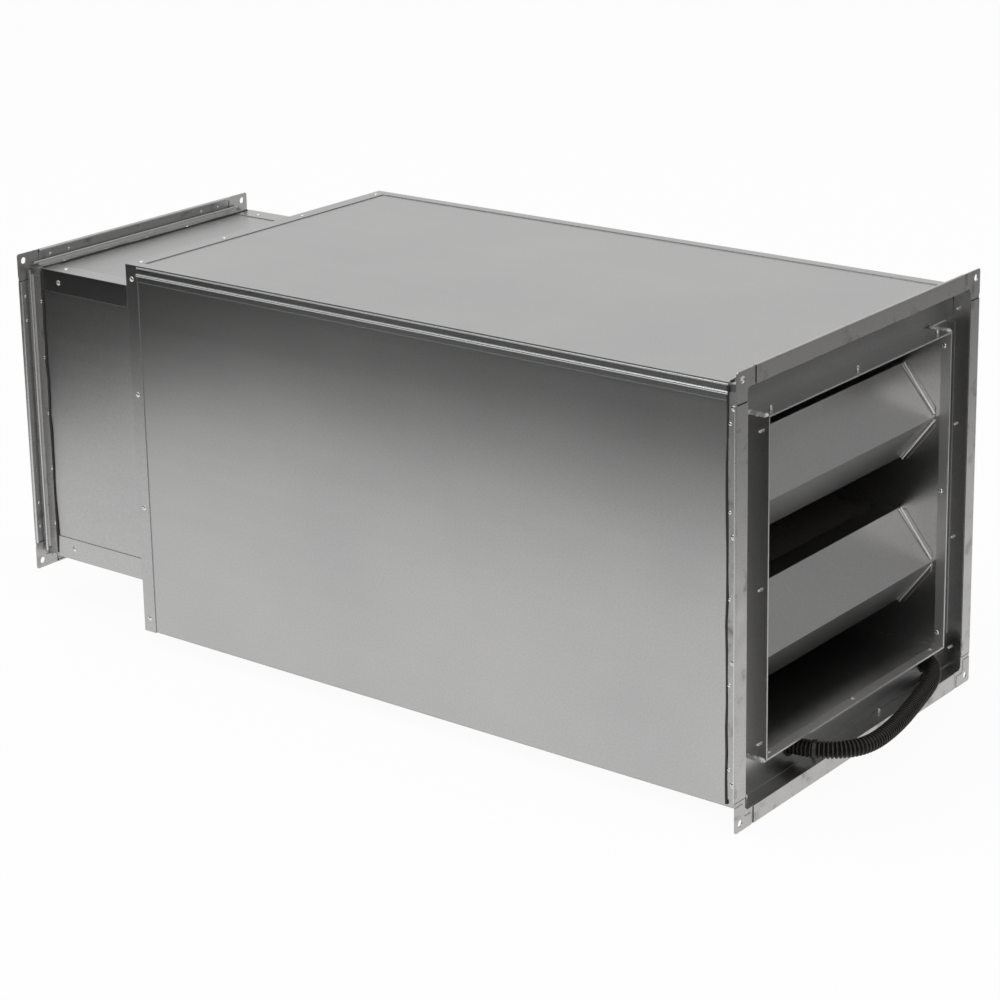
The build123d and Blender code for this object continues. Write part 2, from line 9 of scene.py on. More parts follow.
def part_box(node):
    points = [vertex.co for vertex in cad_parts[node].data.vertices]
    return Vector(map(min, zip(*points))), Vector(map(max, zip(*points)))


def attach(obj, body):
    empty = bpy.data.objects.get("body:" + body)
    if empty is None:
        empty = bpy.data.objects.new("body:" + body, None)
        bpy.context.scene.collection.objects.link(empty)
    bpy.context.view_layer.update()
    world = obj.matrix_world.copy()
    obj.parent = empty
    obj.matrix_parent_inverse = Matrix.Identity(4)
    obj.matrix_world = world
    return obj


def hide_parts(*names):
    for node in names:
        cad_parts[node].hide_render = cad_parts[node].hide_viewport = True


bl_info = {
    "name": "Volume Control Damper",
    "version": (1, 0, 0),
    "blender": (4, 5, 0),
    "location": "View3D > Sidebar > Damper",
    "description": "Dresses the damper unit: sheet finishes, rivets, welds, conduit and a studio",
    "category": "Object",
}

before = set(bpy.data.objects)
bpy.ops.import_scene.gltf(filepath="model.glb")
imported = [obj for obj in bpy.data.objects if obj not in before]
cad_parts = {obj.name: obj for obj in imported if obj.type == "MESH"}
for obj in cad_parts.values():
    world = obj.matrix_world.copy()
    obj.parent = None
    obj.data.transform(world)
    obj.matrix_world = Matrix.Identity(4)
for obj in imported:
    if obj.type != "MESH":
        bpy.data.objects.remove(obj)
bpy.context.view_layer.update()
BOX_BODY = "damper_box"

# Faces that the new pieces sit on, in metres
plate_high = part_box("inlet_end_plate")[1]
closure_low, closure_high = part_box("closure_top_strip")
inlet_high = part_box("inlet_flange_top_rail")[1]
outlet_low, outlet_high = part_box("outlet_flange_top_rail")
SHEET = 0.001
RAIL_SHEET = 0.0012
CLOSURE_FACE = closure_low.x + SHEET
DUCT_END = closure_high.x
HALF_DUCT = closure_low.z
HALF_BORE = HALF_DUCT - SHEET
HALF_CASING = plate_high.z - SHEET
SEAM_START = plate_high.x
SEAM_END = outlet_low.x
# Each flange's name, outer face, way along the duct behind it, and outer edge
FLANGES = (("inlet", 0.0, 1, inlet_high.z), ("outlet", outlet_high.x, -1, outlet_high.z))
SIDES = ("top", "bottom", "front", "rear")
SPLITTERS = ("upper", "lower")
QUARTER_TURNS = [Matrix.Rotation(side * math.pi / 2, 4, "X") for side in range(4)]


# Shader maths


class Socket:
    """A node's output, on which arithmetic adds Math nodes."""

    def __init__(self, finish, output):
        self.finish = finish
        self.output = output

    def maths(self, operation, *values):
        return self.finish.node("ShaderNodeMath", {"operation": operation}, dict(enumerate(values)))

    def __add__(self, other):
        return self.maths("ADD", self, other)

    def __radd__(self, other):
        return self.maths("ADD", other, self)

    def __sub__(self, other):
        return self.maths("SUBTRACT", self, other)

    def __rsub__(self, other):
        return self.maths("SUBTRACT", other, self)

    def __mul__(self, other):
        return self.maths("MULTIPLY", self, other)

    def __rmul__(self, other):
        return self.maths("MULTIPLY", other, self)


class Finish:
    """A material in the making, or the world."""

    def __init__(self, name, world=False):
        self.data = (bpy.data.worlds if world else bpy.data.materials).new(name)
        self.data.use_nodes = True
        self.tree = self.data.node_tree
        self.tree.nodes.clear()

    def node(self, kind, settings=None, values=None, output=0):
        """Adds a node of any type, sets it up, fills its sockets and gives one output."""
        made = self.tree.nodes.new(kind)
        for name, value in (settings or {}).items():
            if name == "stops":
                fill_ramp(made.color_ramp, value)
            else:
                setattr(made, name, value)
        for socket, value in (values or {}).items():
            if isinstance(value, Socket):
                self.tree.links.new(value.output, made.inputs[socket])
            else:
                made.inputs[socket].default_value = value
        return Socket(self, made.outputs[output]) if len(made.outputs) else None

    def place(self):
        return self.node("ShaderNodeTexCoord", output="Object")

    def stretched(self, scale):
        return self.node("ShaderNodeMapping", None, {"Vector": self.place(), "Scale": scale})

    def noise(self, scale, detail=2.0, roughness=0.5, vector=None):
        values = {"Vector": vector or self.place(), "Scale": scale, "Detail": detail}
        values["Roughness"] = roughness
        return self.node("ShaderNodeTexNoise", None, values)

    def ramp(self, factor, *stops):
        return self.node("ShaderNodeValToRGB", {"stops": stops}, {"Fac": factor})

    def mixed(self, factor, first, second, blend="MIX"):
        settings = {"data_type": "RGBA", "blend_type": blend}
        return self.node("ShaderNodeMix", settings, {0: factor, 6: first, 7: second}, output=2)

    def bump(self, height, strength, distance, normal=None):
        values = {"Height": height, "Strength": strength, "Distance": distance}
        if normal is not None:
            values["Normal"] = normal
        return self.node("ShaderNodeBump", None, values)

    def soft_edges(self, radius):
        """Rounds the look of sharp folds and cut edges."""
        return self.node("ShaderNodeBevel", {"samples": 4}, {"Radius": radius})

    def surface(self, values):
        shader = self.node("ShaderNodeBsdfPrincipled", None, values)
        self.node("ShaderNodeOutputMaterial", None, {"Surface": shader})
        return self.data


def fill_ramp(ramp, stops):
    while len(ramp.elements) < len(stops):
        ramp.elements.new(1.0)
    for element, (position, colour) in zip(ramp.elements, stops):
        element.position = position
        element.color = colour


def opaque(colour, factor=1.0):
    return tuple(min(1.0, channel * factor) for channel in colour) + (1.0,)


# Finishes


def galvanised_finish(settings, name="Galvanised sheet", gloss=0.0):
    """Rolled galvanised sheet: fine mottled zinc, faint rolling streaks and slight waves."""
    finish = Finish(name)
    colour = settings.sheet_colour
    grain = finish.noise(420, 3.0, 0.6)
    cloud = finish.noise(5.5, 3.0, 0.55)
    streaks = finish.noise(90, 2.0, 0.5, finish.stretched((0.02, 1.0, 1.0)))
    mottle = finish.ramp(grain, (0.30, opaque(colour, 0.90)), (0.72, opaque(colour, 1.07)))
    shade = finish.ramp(cloud, (0.25, (0.93, 0.93, 0.94, 1)), (0.75, (1.0, 1.0, 1.0, 1)))
    base = finish.mixed(1.0, mottle, shade, "MULTIPLY")
    roughness = (settings.sheet_roughness + gloss) + (grain - 0.5) * 0.06 + (streaks - 0.5) * 0.05
    waves = finish.bump(finish.noise(4.0, 1.0), 0.25, 0.004, finish.soft_edges(0.0007))
    normal = finish.bump(grain, 0.08, 0.00004, waves)
    return finish.surface({"Base Color": base, "Metallic": 1.0, "Roughness": roughness, "Normal": normal})


def flange_finish(settings):
    """Rolled profile with handling marks: softened edges, grey-brown stains and thin scratches."""
    finish = Finish("Flange profile")
    colour = settings.flange_colour
    grain = finish.noise(500, 3.0, 0.6)
    stain = finish.noise(38, 5.0, 0.62)
    scratch = finish.noise(160, 4.0, 0.7, finish.stretched((1.0, 0.18, 0.18)))
    clean = finish.ramp(grain, (0.30, opaque(colour, 0.88)), (0.72, opaque(colour, 1.10)))
    dirt = finish.ramp(stain, (0.56, (0, 0, 0, 1)), (0.72, (1, 1, 1, 1)))
    base = finish.mixed(dirt, clean, opaque(settings.stain_colour))
    roughness = settings.flange_roughness + (stain - 0.5) * 0.25 + (scratch - 0.5) * 0.2
    waves = finish.bump(scratch, 0.22, 0.0003, finish.soft_edges(0.0003))
    normal = finish.bump(grain, 0.12, 0.0001, waves)
    return finish.surface({"Base Color": base, "Metallic": 1.0, "Roughness": roughness, "Normal": normal})


def zinc_finish(name, colour, roughness):
    """Bright zinc on turned and pressed small parts."""
    finish = Finish(name)
    spots = finish.noise(900, 2.0)
    base = finish.ramp(spots, (0.3, opaque(colour, 0.86)), (0.7, opaque(colour, 1.05)))
    normal = finish.bump(spots, 0.15, 0.0001, finish.soft_edges(0.0004))
    values = {"Base Color": base, "Metallic": 1.0, "Roughness": roughness + (spots - 0.5) * 0.2}
    return finish.surface(values | {"Normal": normal})


def weld_finish(settings):
    """Burnt and brushed weld metal, silvery with grey soot."""
    finish = Finish("Weld metal")
    lumps = finish.noise(700, 4.0, 0.7)
    colour = settings.weld_colour
    base = finish.ramp(lumps, (0.35, opaque(colour, 0.6)), (0.6, opaque(colour)))
    normal = finish.bump(lumps, 0.6, 0.0006)
    return finish.surface({"Base Color": base, "Metallic": 0.6, "Roughness": 0.45, "Normal": normal})


def aluminium_finish(settings):
    """Mill-finish blade sheet with its rolling lines along the blade."""
    finish = Finish("Blade aluminium")
    lines = finish.noise(220, 3.0, 0.6, finish.stretched((1.0, 0.02, 1.0)))
    colour = settings.blade_colour
    base = finish.ramp(lines, (0.3, opaque(colour, 0.92)), (0.7, opaque(colour, 1.04)))
    normal = finish.bump(lines, 0.12, 0.0001, finish.soft_edges(0.0005))
    values = {"Base Color": base, "Metallic": 1.0, "Roughness": 0.34 + (lines - 0.5) * 0.15}
    return finish.surface(values | {"Normal": normal})


def wool_finish(settings):
    """Yellow-brown mineral wool, all fibres."""
    finish = Finish("Mineral wool")
    fibres = finish.noise(420, 6.0, 0.75, finish.stretched((1.0, 1.0, 3.0)))
    colour = settings.wool_colour
    base = finish.ramp(fibres, (0.35, opaque(colour, 0.55)), (0.65, opaque(colour, 1.15)))
    normal = finish.bump(fibres, 0.9, 0.0015)
    return finish.surface({"Base Color": base, "Roughness": 0.95, "Normal": normal})


def fleece_finish(settings):
    """Dark glass fleece that covers the silencer's wool."""
    finish = Finish("Glass fleece")
    fibres = finish.noise(650, 5.0, 0.7, finish.stretched((0.35, 1.0, 1.0)))
    patches = finish.noise(24, 3.0)
    colour = settings.fleece_colour
    base = finish.ramp(fibres, (0.4, opaque(colour, 0.6)), (0.68, opaque(colour, 2.2)))
    shade = finish.ramp(patches, (0.3, (0.75, 0.75, 0.75, 1)), (0.7, (1, 1, 1, 1)))
    base = finish.mixed(1.0, base, shade, "MULTIPLY")
    normal = finish.bump(fibres, 0.7, 0.0006)
    return finish.surface({"Base Color": base, "Roughness": 0.9, "Normal": normal})


def plastic_finish(name, colour, roughness, grain=900, depth=0.0001, soft=0.0006):
    """Moulded plastic with a fine spark-eroded grain."""
    finish = Finish(name)
    texture = finish.noise(grain, 2.0)
    base = finish.ramp(texture, (0.3, opaque(colour, 0.9)), (0.7, opaque(colour, 1.1)))
    normal = finish.bump(texture, 0.25, depth, finish.soft_edges(soft))
    values = {"Base Color": base, "Roughness": roughness + (texture - 0.5) * 0.12, "Normal": normal}
    return finish.surface(values)


def conduit_finish(name, colour, roughness):
    """Satin polymer with a little dust."""
    finish = Finish(name)
    dust = finish.noise(300, 4.0, 0.65)
    base = finish.ramp(dust, (0.45, opaque(colour)), (0.75, opaque(colour, 1.8)))
    normal = finish.bump(dust, 0.15, 0.0001)
    values = {"Base Color": base, "Roughness": roughness + (dust - 0.5) * 0.15}
    return finish.surface(values | {"Specular IOR Level": 0.15, "Normal": normal})


# Mesh helpers


def new_piece(name, mesh, finish):
    """Ends a bmesh as an object that rides with the box and takes a material slot's finish."""
    bmesh.ops.remove_doubles(mesh, verts=mesh.verts, dist=1e-6)
    bmesh.ops.recalc_face_normals(mesh, faces=mesh.faces)
    data = bpy.data.meshes.new(name)
    mesh.to_mesh(data)
    mesh.free()
    piece = bpy.data.objects.new(name, data)
    bpy.context.scene.collection.objects.link(piece)
    data.materials.append(finish)
    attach(piece, BOX_BODY)
    return piece


def smooth(piece, angle=math.radians(40)):
    piece.data.polygons.foreach_set("use_smooth", [True] * len(piece.data.polygons))
    piece.data.set_sharp_from_angle(angle=angle)


def spun(mesh, profile, steps, matrix):
    """Turns a profile of (radius, height) points about Z, then moves it into place."""
    verts = [mesh.verts.new((radius, 0, height)) for radius, height in profile]
    edges = [mesh.edges.new(pair) for pair in zip(verts, verts[1:])]
    turn = {"cent": (0, 0, 0), "axis": (0, 0, 1), "angle": math.tau, "steps": steps}
    bmesh.ops.spin(mesh, geom=verts + edges, use_merge=True, use_duplicate=False, **turn)
    faces = {face for vert in verts for face in vert.link_faces}
    grown = set(verts)
    while faces:
        fresh = {vert for face in faces for vert in face.verts} - grown
        grown |= fresh
        faces = {face for vert in fresh for face in vert.link_faces}
    bmesh.ops.transform(mesh, matrix=matrix, verts=list(grown))


def facing(place, direction):
    """A matrix that takes Z to a direction and the origin to a place."""
    turn = Vector(direction).to_track_quat("Z", "Y").to_matrix().to_4x4()
    return Matrix.Translation(Vector(place)) @ turn


def swept(mesh, points, radii, sides, closed_ends=True, coats=None):
    """Rings across a line of points, bridged one after another; coats picks each strip's finish."""
    rings = []
    for index, (point, radius) in enumerate(zip(points, radii)):
        before = points[max(index - 1, 0)]
        after = points[min(index + 1, len(points) - 1)]
        matrix = facing(point, after - before)
        capped = closed_ends and index in (0, len(points) - 1)
        made = bmesh.ops.create_circle(
            mesh, cap_ends=capped, segments=sides, radius=radius, matrix=matrix
        )
        rings.append([edge for vert in made["verts"] for edge in vert.link_edges])
    for index, (first, second) in enumerate(zip(rings, rings[1:])):
        edges = [edge for edge in {*first, *second} if len(edge.link_faces) < 2]
        made = bmesh.ops.bridge_loops(mesh, edges=edges)
        for face in made["faces"]:
            face.material_index = coats[index] if coats else 0


def in_a_row(first, last, count):
    """Even steps from the first place to the last."""
    return [first + (last - first) * step / (count - 1) for step in range(count)]


# Conduit


# Control points of the conduit's line, from above, and the height that it lies at
ROUTE_HEIGHT = -0.230
ROUTE = [
    (1.1300, -0.1040),
    (1.1700, -0.1040),
    (1.2046, -0.0840),
    (1.2240, -0.0500),
    (1.2210, 0.0140),
    (1.2050, 0.0920),
    (1.1900, 0.1560),
    (1.1693, 0.1950),
    (1.1448, 0.2170),
    (1.1142, 0.2290),
]
CONDUIT_DIAMETER = 0.0212
CONDUIT_SIDES = 28
# One rib: share of the pitch, and share of the groove's depth
RIB_SHAPE = (
    (0.00, 1.00),
    (0.12, 0.90),
    (0.20, 0.45),
    (0.32, 0.12),
    (0.50, 0.00),
    (0.68, 0.12),
    (0.80, 0.45),
    (0.88, 0.90),
)
# Down to this share of the groove's depth, a rib counts as its crest and takes the lighter crest colour, a
# painted highlight
CREST_SHARE = 0.3


def smooth_line(points):
    """The points of a spline that has the route's points as its controls."""
    curve = bpy.data.curves.new("Conduit line", "CURVE")
    curve.dimensions = "3D"
    curve.resolution_u = 32
    spline = curve.splines.new("NURBS")
    spline.points.add(len(points) - 1)
    for control, point in zip(spline.points, points):
        control.co = (*point, 1.0)
    spline.order_u = 3
    spline.use_endpoint_u = True
    carrier = bpy.data.objects.new("Conduit line", curve)
    mesh = bpy.data.meshes.new_from_object(carrier)
    line = [vert.co.copy() for vert in mesh.vertices]
    bpy.data.objects.remove(carrier)
    bpy.data.curves.remove(curve)
    bpy.data.meshes.remove(mesh)
    return line


def line_length(line):
    return sum((after - before).length for before, after in zip(line, line[1:]))


def stations(line, distances):
    """Points at rising distances along a line."""
    places = []
    index, passed = 0, 0.0
    for distance in distances:
        step = (line[index + 1] - line[index]).length
        while passed + step < distance and index < len(line) - 2:
            passed += step
            index += 1
            step = (line[index + 1] - line[index]).length
        share = min(1.0, (distance - passed) / step)
        places.append(line[index].lerp(line[index + 1], share))
    return places


def rib_stations(length, settings):
    """Distances and radii along a conduit: rounded crests with a narrow groove between them."""
    outer = CONDUIT_DIAMETER / 2
    depth = settings.groove_depth
    ribs = round(length / settings.rib_pitch)
    pitch = length / ribs
    rows = []
    for rib in range(ribs):
        rows += [((rib + place) * pitch, outer - drop * depth) for place, drop in RIB_SHAPE]
    return rows + [(length, outer - depth)]


class DAMPER_OT_add_conduit(bpy.types.Operator):
    """Corrugated cable conduit that loops out of the closure and back in"""

    bl_idname = "damper.add_conduit"
    bl_label = "Add Conduit"

    def execute(self, context):
        settings = context.scene.damper_conduit
        line = smooth_line([(x, y, ROUTE_HEIGHT) for x, y in ROUTE])
        length = line_length(line)
        rows = rib_stations(length, settings)
        points = stations(line, [distance for distance, radius in rows])
        crest = CONDUIT_DIAMETER / 2 - CREST_SHARE * settings.groove_depth
        radii = [radius for distance, radius in rows]
        # Crest strips take the lighter colour, a painted highlight on the ribs; the grooves keep the
        # conduit's own black
        coats = [int(min(pair) > crest) for pair in zip(radii, radii[1:])]
        mesh = bmesh.new()
        swept(mesh, points, radii, CONDUIT_SIDES, coats=coats)
        colours = context.scene.damper_finishes
        groove = conduit_finish("Conduit grooves", colours.conduit_colour, colours.conduit_roughness)
        # Painted highlight: a lighter copy of the conduit's finish for the ribs' crests
        crest_highlight = conduit_finish("Conduit crest highlight", colours.crest_highlight_colour, colours.conduit_roughness)
        piece = new_piece("corrugated_conduit", mesh, groove)
        piece.data.materials.append(crest_highlight)
        smooth(piece, math.radians(60))
        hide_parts("conduit")
        return {"FINISHED"}


# Fasteners and welds


def loose_parts(mesh):
    """The separate bodies of a mesh, as lists of vertices."""
    left = set(mesh.verts)
    parts = []
    while left:
        reached = [left.pop()]
        for vert in reached:
            for edge in vert.link_edges:
                other = edge.other_vert(vert)
                if other in left:
                    left.discard(other)
                    reached.append(other)
        parts.append(reached)
    return parts


def rivet_places(node):
    """Where the heads of a CAD node's rivets sit on their sheets, and which way they face."""
    mesh = bmesh.new()
    mesh.from_mesh(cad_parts[node].data)
    bmesh.ops.remove_doubles(mesh, verts=mesh.verts, dist=1e-5)
    places = []
    for part in loose_parts(mesh):
        low = Vector([min(vert.co[axis] for vert in part) for axis in range(3)])
        high = Vector([max(vert.co[axis] for vert in part) for axis in range(3)])
        size = high - low
        along = max(range(3), key=lambda axis: size[axis])
        middle = (low + high) / 2
        across = [axis for axis in range(3) if axis != along]
        widest = max(part, key=lambda vert: sum((vert.co[axis] - middle[axis]) ** 2 for axis in across))
        seat = middle.copy()
        seat[along] = widest.co[along]
        direction = Vector((0, 0, 0))
        direction[along] = math.copysign(1, seat[along] - middle[along])
        places.append((seat, direction))
    mesh.free()
    return places


# A blind rivet's outline: share of the head's radius, and height over the sheet in metres
RIVET_HEAD = (
    (0.0, 0.0003),
    (0.3, 0.0003),
    (0.315, 0.00105),
    (0.39, 0.00118),
    (0.72, 0.00088),
    (0.94, 0.00042),
    (1.0, 0.00012),
    (1.0, 0.0),
)
RIVET_TAIL = (
    (0.5, 0.0),
    (0.5, -0.0022),
    (0.61, -0.0032),
    (0.61, -0.0050),
    (0.5, -0.0062),
    (0.31, -0.0063),
    (0.29, -0.0068),
    (0.40, -0.0072),
    (0.31, -0.0078),
    (0.0, -0.0080),
)


def add_rivet(mesh, settings, place, direction):
    """Blind rivet: a domed head with the mandrel's hole, and a bulbed tail with a ball."""
    head = settings.rivet_diameter / 2
    profile = [(share * head, height) for share, height in RIVET_HEAD + RIVET_TAIL]
    spun(mesh, profile, 14, facing(place, direction))


class DAMPER_OT_add_rivets(bpy.types.Operator):
    """Blind rivets of the end plate, rails, angles, bracket, collar and splitters"""

    bl_idname = "damper.add_rivets"
    bl_label = "Add Rivets"

    def execute(self, context):
        settings = context.scene.damper_fittings
        colours = context.scene.damper_finishes
        finish = zinc_finish("Rivet zinc", colours.rivet_colour, 0.22)
        for node in ("casing_rivets", "collar_rivets"):
            mesh = bmesh.new()
            for place, direction in rivet_places(node):
                add_rivet(mesh, settings, place, direction)
            piece = new_piece(f"domed_{node}", mesh, finish)
            smooth(piece)
            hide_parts(node)
        mesh = bmesh.new()
        inwards, below = 0.014, 0.007
        for name in SPLITTERS:
            low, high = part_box(f"{name}_splitter_outlet_nose")
            for side in (-1, 1):
                place = (low.x - inwards, side * (high.y - SHEET), high.z - below)
                add_rivet(mesh, settings, place, (0, -side, 0))
        piece = new_piece("splitter_rivets", mesh, finish)
        smooth(piece)
        return {"FINISHED"}


class DAMPER_OT_add_clinch_marks(bpy.types.Operator):
    """Clinch marks that join the rails' legs and corners"""

    bl_idname = "damper.add_clinch_marks"
    bl_label = "Add Clinch Marks"

    def execute(self, context):
        settings = context.scene.damper_fittings
        finish = zinc_finish("Clinch marks", context.scene.damper_finishes.rivet_colour, 0.22)
        below_edge = 0.0105
        on_leg, leg_margin, leg_marks = 0.0215, 0.066, 5
        for name, face, way, edge in FLANGES:
            mesh = bmesh.new()
            back = face + way * RAIL_SHEET
            leg = edge - settings.rail_height + RAIL_SHEET
            for turn in QUARTER_TURNS:
                for end in (-1, 1):
                    for step in (settings.clinch_start, settings.clinch_start + settings.clinch_step):
                        place = Vector((back, end * (edge - step), edge - below_edge))
                        self.add_mark(mesh, settings, turn @ facing(place, (way, 0, 0)))
                for along in in_a_row(leg_margin - edge, edge - leg_margin, leg_marks):
                    place = Vector((face + way * on_leg, along, leg))
                    self.add_mark(mesh, settings, turn @ facing(place, (0, 0, 1)))
            piece = new_piece(f"{name}_clinch_marks", mesh, finish)
            smooth(piece)
        return {"FINISHED"}

    def add_mark(self, mesh, settings, matrix):
        radius = settings.clinch_diameter / 2
        profile = [(0, 0.0008), (radius * 0.5, 0.0007), (radius * 0.85, 0.0003), (radius, -0.0003)]
        spun(mesh, profile, 10, matrix)


class DAMPER_OT_add_welds(bpy.types.Operator):
    """Weld beads along the collar's corners and the closure's seams"""

    bl_idname = "damper.add_welds"
    bl_label = "Add Welds"

    def execute(self, context):
        settings = context.scene.damper_fittings
        finish = weld_finish(context.scene.damper_finishes)
        chance = random.Random(7)
        mesh = bmesh.new()
        wide = settings.weld_width / 2
        corner = HALF_DUCT + SHEET * 0.9
        wall = closure_high.y - SHEET
        for side in (-1, 1):
            for level in (-1, 1):
                start = Vector((CLOSURE_FACE - 0.0005, side * corner, level * corner))
                end = Vector((DUCT_END - 0.001, side * corner, level * corner))
                self.add_bead(mesh, chance, start, end, wide)
                start = Vector((CLOSURE_FACE, side * corner, level * (corner - 0.0006)))
                end = Vector((CLOSURE_FACE, side * wall, level * (corner - 0.0006)))
                self.add_bead(mesh, chance, start, end, wide * 0.4)
        piece = new_piece("weld_beads", mesh, finish)
        smooth(piece, math.radians(75))
        return {"FINISHED"}

    def add_bead(self, mesh, chance, start, end, radius):
        """An uneven bead in ripples."""
        count = max(6, round((end - start).length / 0.0016))
        points, radii = [], []
        for step in range(count + 1):
            stray = [chance.uniform(-0.22, 0.22) * radius for axis in range(3)]
            points.append(start.lerp(end, step / count) + Vector(stray))
            taper = min(1.0, 0.45 + min(step, count - step) * 0.35)
            radii.append(radius * taper * (1.0 if step % 2 else 0.82) * chance.uniform(0.85, 1.15))
        swept(mesh, points, radii, 8)


# Folded details of flanges and noses


def add_bar(mesh, low, high, matrix=None):
    """A box between two corners."""
    low, high = Vector(low), Vector(high)
    place = Matrix.Translation((low + high) / 2) @ Matrix.Diagonal((*(high - low), 1))
    bmesh.ops.create_cube(mesh, size=1, matrix=(matrix or Matrix()) @ place)


class DAMPER_OT_add_flange_hems(bpy.types.Operator):
    """Rolled hems on the flanges' outer edges, the sealant at the ends of the corner pieces, and a black
    line under each rail's leg that paints its shadow
    """

    bl_idname = "damper.add_flange_hems"
    bl_label = "Add Flange Hems"

    def execute(self, context):
        settings = context.scene.damper_fittings
        colours = context.scene.damper_finishes
        hem_finish = zinc_finish("Hem zinc", colours.zinc_colour, 0.3)
        chance = random.Random(11)
        seal_and_shadow_finish = plastic_finish("Joint sealant and painted shadow", colours.black_colour, 0.6)
        radius = settings.hem_width / 2
        joint = 0.0012
        ridge_back, ridge_rise, corner_room = 0.006, 0.0042, 0.004
        for name, face, way, edge in FLANGES:
            hems, seals_and_shadows = bmesh.new(), bmesh.new()
            end = edge - settings.corner_arm - joint
            level = edge - radius
            back = face + way * (RAIL_SHEET + radius)
            duct = edge - settings.rail_height
            reach = duct - corner_room
            ridge = face + way * ridge_back
            leg_end = face + way * (settings.rail_leg + 0.0008)
            for turn in QUARTER_TURNS:
                line = [turn @ Vector((back, along, level)) for along in (-end, end)]
                swept(hems, line, [radius] * 2, 12)
                line = [turn @ Vector((ridge, along, duct + ridge_rise)) for along in (-reach, reach)]
                swept(hems, line, [settings.ridge_radius] * 2, 10)
                # Painted shadow: a wavy black line in the gap under the rail's leg
                self.add_leg_shadow(seals_and_shadows, chance, turn, leg_end, duct, reach)
                for at in (-1, 1):
                    start, stop = sorted((at * (end + 0.0001), at * (end + joint - 0.0001)))
                    low_x, high_x = sorted((face + way * 0.0002, face + way * RAIL_SHEET))
                    low = (low_x, start, edge - settings.corner_seam)
                    add_bar(seals_and_shadows, low, (high_x, stop, edge - 0.0005), turn)
            smooth(new_piece(f"{name}_flange_hems", hems, hem_finish))
            new_piece(f"{name}_flange_sealant_and_shadow", seals_and_shadows, seal_and_shadow_finish)
        return {"FINISHED"}

    def add_leg_shadow(self, mesh, chance, turn, place, level, reach):
        """A wavy black line in the gap under a rail's leg, a painted shadow."""
        line, radii = [], []
        for along in in_a_row(-reach, reach, 17):
            stray = chance.uniform(-0.0008, 0.0008)
            line.append(turn @ Vector((place + stray, along, level + 0.0006)))
            radii.append(chance.uniform(0.0012, 0.0022))
        swept(mesh, line, radii, 8)


class DAMPER_OT_add_seam_folds(bpy.types.Operator):
    """Rounded folds of the lock seams along the casing's upper edges"""

    bl_idname = "damper.add_seam_folds"
    bl_label = "Add Seam Folds"

    def execute(self, context):
        settings = context.scene.damper_fittings
        mesh = bmesh.new()
        # How far each fold stands out, how far it lies below the top, and its share of the radius
        folds = ((0.0010, 0.0018, 0.9), (0.0016, 0.0112, 1.6), (0.0010, 0.0190, 0.8))
        for side in (-1, 1):
            for out, drop, share in folds:
                y, z = side * (HALF_CASING + out), HALF_CASING - drop
                line = [Vector((x, y, z)) for x in (SEAM_START, SEAM_END)]
                swept(mesh, line, [share * settings.seam_radius] * 2, 12)
        finish = zinc_finish("Fold zinc", context.scene.damper_finishes.zinc_colour, 0.28)
        smooth(new_piece("seam_folds", mesh, finish))
        return {"FINISHED"}


class DAMPER_OT_add_nose_joints(bpy.types.Operator):
    """Raised folds and sealed joints where the splitters' outlet noses meet the duct's side walls"""

    bl_idname = "damper.add_nose_joints"
    bl_label = "Add Nose Joints"

    def execute(self, context):
        settings = context.scene.damper_fittings
        mesh = bmesh.new()
        bead = settings.joint_bead
        for name in SPLITTERS:
            low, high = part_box(f"{name}_splitter_outlet_nose")
            middle = Vector((0, 0, (low.z + high.z) / 2))
            rise = (high.z - low.z) / 2
            outward = Vector((rise, 0, high.x - low.x)).normalized()
            for side in (-1, 1):
                wall = side * (HALF_BORE - bead * 0.4)
                tip = Vector((high.x - 0.003, wall, 0.002))
                root = Vector((low.x + 0.001, wall, rise - 0.001))
                for level in (-1, 1):
                    flip = Vector((1, 1, level))
                    for step in (-0.5 * bead, 1.6 * bead):
                        line = [middle + (end + outward * step) * flip for end in (tip, root)]
                        swept(mesh, line, [bead] * 2, 10)
        finish = zinc_finish("Joint folds", context.scene.damper_finishes.rivet_colour, 0.35)
        smooth(new_piece("splitter_nose_joints", mesh, finish))
        return {"FINISHED"}


class DAMPER_OT_add_collar_lining(bpy.types.Operator):
    """Bright edge strips of the duct inside the collar"""

    bl_idname = "damper.add_collar_lining"
    bl_label = "Add Collar Lining"

    def execute(self, context):
        settings = context.scene.damper_fittings
        mesh = bmesh.new()
        thick, set_back = 0.0004, 0.0006
        low = (DUCT_END - settings.lining_depth, -HALF_BORE + thick, HALF_BORE - thick)
        high = (DUCT_END - set_back, HALF_BORE - thick, HALF_BORE)
        for turn in QUARTER_TURNS:
            add_bar(mesh, low, high, turn)
        finish = zinc_finish("Lining sheet", context.scene.damper_finishes.flange_colour, 0.5)
        new_piece("collar_lining", mesh, finish)
        return {"FINISHED"}


# Finishes on the CAD pieces


SHEET_NODES = [
    *(f"duct_{side}_panel" for side in SIDES),
    *(f"casing_{side}_panel" for side in SIDES),
    *(f"closure_{side}_strip" for side in SIDES),
    *(f"{name}_splitter_{part}" for name in SPLITTERS for part in ("frame", "outlet_nose", "inlet_nose")),
    "inlet_end_plate",
    "actuator_bracket",
    "blade_stops",
]
FLANGE_NODES = [
    *(f"{end}_flange_{side}_rail" for end in ("inlet", "outlet") for side in SIDES),
    "inlet_flange_corners",
    "outlet_flange_corners",
]
BLADES = [f"blade_{number}" for number in range(1, 5)]


def dress(nodes, finish):
    """Gives CAD nodes a finish through their material slots."""
    for node in nodes:
        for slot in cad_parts[node].material_slots:
            slot.material = finish


